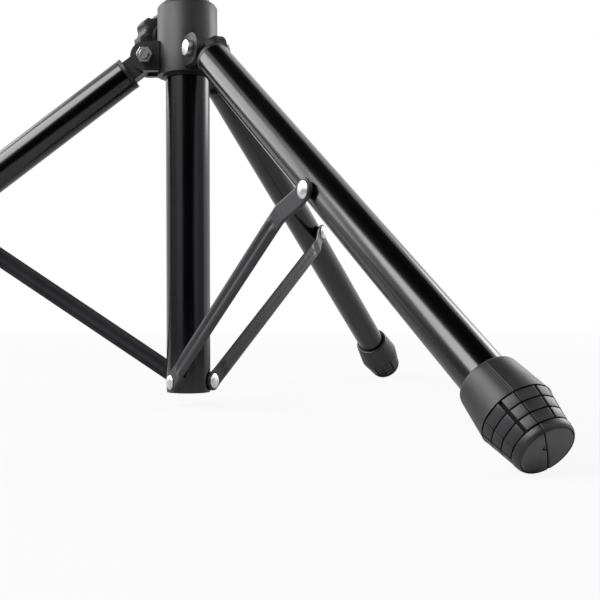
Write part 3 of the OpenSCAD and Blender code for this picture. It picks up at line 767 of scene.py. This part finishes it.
def fettled(name, node, finish, body, round_off):
    """A copy of a CAD node with its flats joined up and its sharp edges rounded off, in millimetres."""
    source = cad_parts[node]
    shape = bmesh.new()
    shape.from_mesh(source.data)
    bmesh.ops.remove_doubles(shape, verts=shape.verts, dist=1e-6)
    bmesh.ops.dissolve_limit(shape, angle_limit=math.radians(1.0), verts=shape.verts, edges=shape.edges)
    mesh = bpy.data.meshes.new(name)
    shape.to_mesh(mesh)
    shape.free()
    mesh.materials.clear()
    mesh.materials.append(finish)
    made = bpy.data.objects.new(name, mesh)
    bpy.context.scene.collection.objects.link(made)
    rounding = made.modifiers.new("rounding", "BEVEL")
    rounding.width = round_off * 0.001
    rounding.segments = 2
    rounding.limit_method = "ANGLE"
    rounding.angle_limit = math.radians(40)
    rounding.use_clamp_overlap = True
    rounding.harden_normals = False
    mesh.shade_smooth()
    mesh.set_sharp_from_angle(angle=math.radians(40))
    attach(made, body)
    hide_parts(node)
    return made


zinc_plate = finish_of("zinc_plate", (0.50, 0.50, 0.52), (0.60, 0.60, 0.62), (0.3, 0.42),
                       (1200.0, 4.0, 70.0), 0.00003, metal=1.0)
for node, body in (("collar_body", "collar"), ("height_clamp", "column"), ("collar_grip", "collar_knob"),
                   ("height_grip", "height_knob"), ("tilt_grip", "tilt_knob"),
                   ("arm_right_grip", "arm_knob_right"), ("arm_left_grip", "arm_knob_left"),
                   ("leg_front_hinge", "leg_front"), ("leg_right_hinge", "leg_right"),
                   ("leg_left_hinge", "leg_left"), ("crossbar_caps", "head"), ("arm_right_caps", "arm_right"),
                   ("arm_left_caps", "arm_left"), ("collar_bush", "collar"), ("height_bush", "column"),
                   ("mast_guide", "mast")):
    fettled(node + "_moulding", node, moulded, body, 0.35)
for node, body in (("collar_bolts", "collar"), ("collar_nuts", "collar"), ("collar_screw", "collar_knob"),
                   ("height_screw", "height_knob"), ("tilt_bolt", "mast"),
                   ("arm_right_screw", "arm_knob_right"), ("arm_left_screw", "arm_knob_left")):
    fettled(node + "_plated", node, zinc_plate, body, 0.3)


# Mast, head and arms.
# A 25 mm steel tube with a forked bracket welded on, a square crossbar that tilts in it, and two arms
# on the crossbar. Mast and weld are coated like the column, the rest duller; pads and covers are rubber.

mast_radius, fork_foot = 12.5, 744.5
weld_round, weld_out, weld_low, weld_ripples, ripple_height = 1.3, 0.7, 0.4, 36, 0.16
bead = turned([(mast_radius + weld_out + weld_round * math.cos(a),
                fork_foot - weld_low + weld_round * math.sin(a))
               for a in np.linspace(0, 2 * math.pi, 13)[:-1]], steps=216)
for corner in bead[0]:
    ripple = ripple_height * math.cos(weld_ripples * math.atan2(corner.y, corner.x))
    corner.z -= ripple
    corner.xy *= 1 + ripple / mast_radius
piece("fork_weld", [bead], powder_coat, "mast", [])
satin_coat = finish_of("satin_coat", (0.008, 0.008, 0.009), (0.012, 0.012, 0.013), (0.44, 0.52),
                       (900.0, 3.0, 25.0), 0.00002, Specular_IOR_Level=0.35)
for node, body in (("mast_tube", "mast"), ("mast_fork", "mast"), ("head_block", "head"),
                   ("crossbar", "head"), ("arm_right_sleeve", "arm_right"), ("arm_left_sleeve", "arm_left"),
                   ("arm_right_tube", "arm_right"), ("arm_left_tube", "arm_left"),
                   ("arm_right_post", "arm_right"), ("arm_left_post", "arm_left")):
    coat = powder_coat if node == "mast_tube" else satin_coat
    fettled(node + "_coated", node, coat, body, 0.5)
for node, body in (("arm_right_pads", "arm_right"), ("arm_left_pads", "arm_left"),
                   ("arm_right_cover", "arm_right"), ("arm_left_cover", "arm_left")):
    fettled(node + "_rubber", node, foot_rubber, body, 0.3)


# Room and camera.
# A plain white floor and world, soft boxes left and right, and dark cloths that keep the black coats
# black, as in a studio. The camera stands where the photograph was taken, low before the stand.

scene = bpy.context.scene
scene.view_settings.view_transform = "Standard"
toward_camera = math.radians(27.988)
room_turn = Matrix.Rotation(-toward_camera, 4, "Z")


def white_to_eye(nodes, links):
    """1 where the surface is seen, directly, mirrored or through glass, and 0 where it lights others."""
    path = nodes.new("ShaderNodeLightPath")
    total = path.outputs["Is Camera Ray"]
    for label in ("Is Glossy Ray", "Is Transmission Ray"):
        either = nodes.new("ShaderNodeMath")
        either.operation = "MAXIMUM"
        links.new(total, either.inputs[0])
        links.new(path.outputs[label], either.inputs[1])
        total = either.outputs[0]
    return total


def faded(nodes, links, distance, near, far, least):
    """A value that rises from the least to 1 between two distances from the stand, in metres."""
    fade = nodes.new("ShaderNodeMapRange")
    fade.inputs["From Min"].default_value = near
    fade.inputs["From Max"].default_value = far
    fade.inputs["To Min"].default_value = least
    fade.inputs["To Max"].default_value = 1.0
    links.new(distance, fade.inputs["Value"])
    return fade.outputs["Result"]


pale = bpy.data.materials.new("pale_floor")
pale.use_nodes = True
nodes, links = pale.node_tree.nodes, pale.node_tree.links
nodes["Principled BSDF"].inputs["Base Color"].default_value = (0.6, 0.6, 0.6, 1)
nodes["Principled BSDF"].inputs["Roughness"].default_value = 1.0
nodes["Principled BSDF"].inputs["Specular IOR Level"].default_value = 0.0
glow = nodes.new("ShaderNodeEmission")
glow.inputs["Strength"].default_value = 1.0
share = nodes.new("ShaderNodeMath")
share.operation = "MULTIPLY"
from_stand = nodes.new("ShaderNodeTexCoord")
distance = nodes.new("ShaderNodeVectorMath")
distance.operation = "LENGTH"
links.new(from_stand.outputs["Object"], distance.inputs[0])
# the floor is a little darker near the stand, and much darker there in mirror images
seen_by = nodes.new("ShaderNodeLightPath")
either_fade = nodes.new("ShaderNodeMix")
links.new(seen_by.outputs["Is Camera Ray"], either_fade.inputs["Factor"])
links.new(faded(nodes, links, distance.outputs["Value"], 0.5, 1.4, 0.05), either_fade.inputs["A"])
links.new(faded(nodes, links, distance.outputs["Value"], 0.6, 2.6, 0.90), either_fade.inputs["B"])
links.new(either_fade.outputs["Result"], share.inputs[1])
blend_floor = nodes.new("ShaderNodeMixShader")
links.new(white_to_eye(nodes, links), share.inputs[0])
links.new(share.outputs[0], blend_floor.inputs["Fac"])
links.new(nodes["Principled BSDF"].outputs[0], blend_floor.inputs[1])
links.new(glow.outputs[0], blend_floor.inputs[2])
links.new(blend_floor.outputs[0], nodes["Material Output"].inputs["Surface"])

cloth = bpy.data.materials.new("dark_cloth")
cloth.use_nodes = True
weave = cloth.node_tree.nodes["Principled BSDF"].inputs
weave["Base Color"].default_value = (0.01, 0.01, 0.01, 1)
weave["Roughness"].default_value = 1.0
weave["Specular IOR Level"].default_value = 0.0


def panel(name, corners, faces, material):
    """A sheet of the set, which isn't part of the stand."""
    mesh = bpy.data.meshes.new(name)
    mesh.from_pydata(corners, [], faces)
    made = bpy.data.objects.new(name, mesh)
    scene.collection.objects.link(made)
    mesh.materials.append(material)
    return made


def only_mirrored(sheet):
    """Lets a sheet show in mirror images alone."""
    sheet.visible_camera = False
    sheet.visible_diffuse = False
    sheet.visible_shadow = False


panel("floor", [(-9, -9, 0), (9, -9, 0), (9, 9, 0), (-9, 9, 0)], [(0, 1, 2, 3)], pale)


def away(azimuth, height, distance):
    """A place in the room. The azimuth runs from the camera's side towards its right, in degrees."""
    a = math.radians(azimuth)
    return room_turn @ Vector((distance * math.sin(a), -distance * math.cos(a), height))


def card(level):
    """Paper of one even brightness, where 1 is white. It has the faint cool tone of daylight."""
    paper = bpy.data.materials.new(f"card_{level:.2f}")
    paper.use_nodes = True
    glow = paper.node_tree.nodes.new("ShaderNodeEmission")
    glow.inputs["Color"].default_value = (0.94, 0.96, 1.06, 1)
    glow.inputs["Strength"].default_value = level
    paper.node_tree.links.new(glow.outputs[0], paper.node_tree.nodes["Material Output"].inputs["Surface"])
    return paper


wall_away, wall_near, over_floor, floor_level, mark_count = 2.8, 0.42, 0.0004, 0.22, 9
for name, start, end, height, level in (
        ("left_wall", -107, -58, 0.95, 0.36), ("left_wall_near", -58, -26, 0.95, 0.66),
        ("right_wall_near", 34, 58, 0.95, 0.52), ("right_wall", 58, 94, 0.95, 0.34),
        ("cloth_behind_camera", -26, 34, 2.6, 0.0)):
    # an upright sheet, and another that covers the floor before it
    marks = np.linspace(start, end, mark_count)
    faces = [(k, k + 1, k + mark_count + 1, k + mark_count) for k in range(mark_count - 1)]
    standing = ((0.0, wall_away), (height, wall_away))
    lying = ((over_floor, wall_near), (over_floor, wall_away))
    for part, lines, brightness in (("_upright", standing, level), ("_floor", lying, floor_level)):
        corners = [away(a, up, out) for up, out in lines for a in marks]
        only_mirrored(panel(name + part, corners, faces, card(brightness) if level else cloth))

overhead = [away(a, 2.3, 1.5) for a in range(0, 360, 30)]
only_mirrored(panel("cloth_overhead", overhead, [tuple(range(len(overhead)))], cloth))

world = bpy.data.worlds.new("studio")
scene.world = world
world.use_nodes = True
nodes, links = world.node_tree.nodes, world.node_tree.links
nodes["Background"].inputs["Color"].default_value = (1, 1, 1, 1)
# the sky looks white and lights the stand with less than a third of that
sky = nodes.new("ShaderNodeMapRange")
sky.inputs["To Min"].default_value = 0.30
sky.inputs["To Max"].default_value = 1.0
links.new(white_to_eye(nodes, links), sky.inputs["Value"])
links.new(sky.outputs["Result"], nodes["Background"].inputs["Strength"])


def soft_box(name, azimuth, height, distance, size, radiance):
    """A flat lamp that faces the tripod. Its power follows from its size and brightness, where 1 is white."""
    light = bpy.data.lights.new(name, "AREA")
    light.shape = "RECTANGLE"
    light.size, light.size_y = size
    light.energy = radiance * math.pi * size[0] * size[1]
    place = away(azimuth, height, distance)
    made = bpy.data.objects.new(name, light)
    made.location = place
    made.rotation_euler = (Vector((0, 0, 0.15)) - place).to_track_quat("-Z", "Y").to_euler()
    scene.collection.objects.link(made)


soft_box("left_box", -58, 1.50, 1.7, (1.9, 1.1), 7.0)
soft_box("left_back_box", -116, 1.10, 1.8, (1.1, 1.1), 3.5)
soft_box("right_back_box", 123, 1.10, 1.9, (1.05, 1.15), 4.6)

# lens, shift and place as fitted to the rivets, tubes and foot in the photograph
eye = bpy.data.cameras.new("photo_camera")
eye.sensor_width = 36
eye.lens = 60.293
eye.shift_x = 0.10112
eye.shift_y = 0.00556
eye.clip_start = 0.02
eye.clip_end = 60
camera = bpy.data.objects.new("photo_camera", eye)
scene.collection.objects.link(camera)
tip_up, roll = math.radians(0.288), math.radians(-0.208)
ahead = Vector((0, math.cos(tip_up), math.sin(tip_up)))
level_right = Vector((1, 0, 0))
level_up = level_right.cross(ahead)
right = level_right * math.cos(roll) + level_up * math.sin(roll)
upward = level_up * math.cos(roll) - level_right * math.sin(roll)
spin = Matrix.Identity(4)
for column, axis in enumerate((right, upward, -ahead)):
    for row in range(3):
        spin[row][column] = axis[row]
camera_place = (0.034915, -0.688536, 0.066514)
camera.matrix_world = room_turn @ Matrix.Translation(camera_place) @ spin
scene.camera = camera
